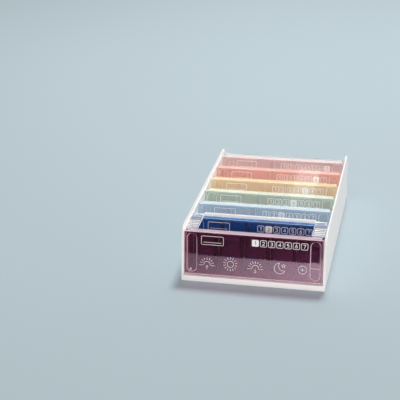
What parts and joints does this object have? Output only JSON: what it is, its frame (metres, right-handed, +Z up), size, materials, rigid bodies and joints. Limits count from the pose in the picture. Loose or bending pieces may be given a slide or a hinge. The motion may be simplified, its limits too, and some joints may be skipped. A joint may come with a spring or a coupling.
{
  "type": "weekly pill drawer organizer",
  "caption": "Open-front white case with a clear lift-off cover, holding leaning tinted day boxes with sliding lids and divided troughs.",
  "frame": {"origin": "middle of the case's underside", "axes": "+Z up, +X across the case to the right as seen from the front, +Y from the open front to the back"},
  "size_m": [0.117, 0.185, 0.045],
  "materials": {
    "case": "satin",
    "cover": "clear",
    "purple": "clear tinted",
    "blue": "clear tinted",
    "light_blue": "clear tinted",
    "green": "clear tinted",
    "yellow": "clear tinted",
    "orange": "clear tinted",
    "red": "clear tinted"
  },
  "bodies": {
    "case": {"case": "case"},
    "cover": {"cover": "cover"},
    "purple_box": {"purple_tray": "purple", "purple_dividers": "purple"},
    "purple_lid": {"purple_lid": "purple"},
    "blue_box": {"blue_tray": "blue", "blue_dividers": "blue"},
    "blue_lid": {"blue_lid": "blue"},
    "light_blue_box": {"light_blue_tray": "light_blue", "light_blue_dividers": "light_blue"},
    "light_blue_lid": {"light_blue_lid": "light_blue"},
    "green_box": {"green_tray": "green", "green_dividers": "green"},
    "green_lid": {"green_lid": "green"},
    "yellow_box": {"yellow_tray": "yellow", "yellow_dividers": "yellow"},
    "yellow_lid": {"yellow_lid": "yellow"},
    "orange_box": {"orange_tray": "orange", "orange_dividers": "orange"},
    "orange_lid": {"orange_lid": "orange"},
    "red_box": {"red_tray": "red", "red_dividers": "red"},
    "red_lid": {"red_lid": "red"}
  },
  "joints": [
    {"name": "cover_lift", "type": "slide", "parent": "case", "child": "cover", "axis": [0, 0, 1], "range_m": [0, 0.12]},
    {"name": "purple_box_pull", "type": "slide", "parent": "case", "child": "purple_box", "axis": [0, -0.9877, 0.1564], "range_m": [0, 0.045]},
    {"name": "purple_lid_slide", "type": "slide", "parent": "purple_box", "child": "purple_lid", "axis": [0, 0.1564, 0.9877], "range_m": [0, 0.024]},
    {"name": "blue_box_lift", "type": "slide", "parent": "case", "child": "blue_box", "axis": [0, 0, 1], "range_m": [0, 0.042]},
    {"name": "blue_lid_slide", "type": "slide", "parent": "blue_box", "child": "blue_lid", "axis": [0, 0.1564, 0.9877], "range_m": [0, 0.024]},
    {"name": "light_blue_box_lift", "type": "slide", "parent": "case", "child": "light_blue_box", "axis": [0, 0, 1], "range_m": [0, 0.042]},
    {"name": "light_blue_lid_slide", "type": "slide", "parent": "light_blue_box", "child": "light_blue_lid", "axis": [0, 0.1564, 0.9877], "range_m": [0, 0.024]},
    {"name": "green_box_lift", "type": "slide", "parent": "case", "child": "green_box", "axis": [0, 0, 1], "range_m": [0, 0.042]},
    {"name": "green_lid_slide", "type": "slide", "parent": "green_box", "child": "green_lid", "axis": [0, 0.1564, 0.9877], "range_m": [0, 0.024]},
    {"name": "yellow_box_lift", "type": "slide", "parent": "case", "child": "yellow_box", "axis": [0, 0, 1], "range_m": [0, 0.042]},
    {"name": "yellow_lid_slide", "type": "slide", "parent": "yellow_box", "child": "yellow_lid", "axis": [0, 0.1564, 0.9877], "range_m": [0, 0.024]},
    {"name": "orange_box_lift", "type": "slide", "parent": "case", "child": "orange_box", "axis": [0, 0, 1], "range_m": [0, 0.042]},
    {"name": "orange_lid_slide", "type": "slide", "parent": "orange_box", "child": "orange_lid", "axis": [0, 0.1564, 0.9877], "range_m": [0, 0.024]},
    {"name": "red_box_lift", "type": "slide", "parent": "case", "child": "red_box", "axis": [0, 0, 1], "range_m": [0, 0.042]},
    {"name": "red_lid_slide", "type": "slide", "parent": "red_box", "child": "red_lid", "axis": [0, 0.1564, 0.9877], "range_m": [0, 0.024]}
  ],
  "couplings": [
    {"joint": "blue_box_lift", "follows": "cover_lift", "ratio": 0.35},
    {"joint": "blue_lid_slide", "follows": "cover_lift", "ratio": 0.2},
    {"joint": "light_blue_box_lift", "follows": "cover_lift", "ratio": 0.35},
    {"joint": "light_blue_lid_slide", "follows": "cover_lift", "ratio": 0.2},
    {"joint": "green_box_lift", "follows": "cover_lift", "ratio": 0.35},
    {"joint": "green_lid_slide", "follows": "cover_lift", "ratio": 0.2},
    {"joint": "yellow_box_lift", "follows": "cover_lift", "ratio": 0.35},
    {"joint": "yellow_lid_slide", "follows": "cover_lift", "ratio": 0.2},
    {"joint": "orange_box_lift", "follows": "cover_lift", "ratio": 0.35},
    {"joint": "orange_lid_slide", "follows": "cover_lift", "ratio": 0.2},
    {"joint": "red_box_lift", "follows": "cover_lift", "ratio": 0.35},
    {"joint": "red_lid_slide", "follows": "cover_lift", "ratio": 0.2}
  ]
}
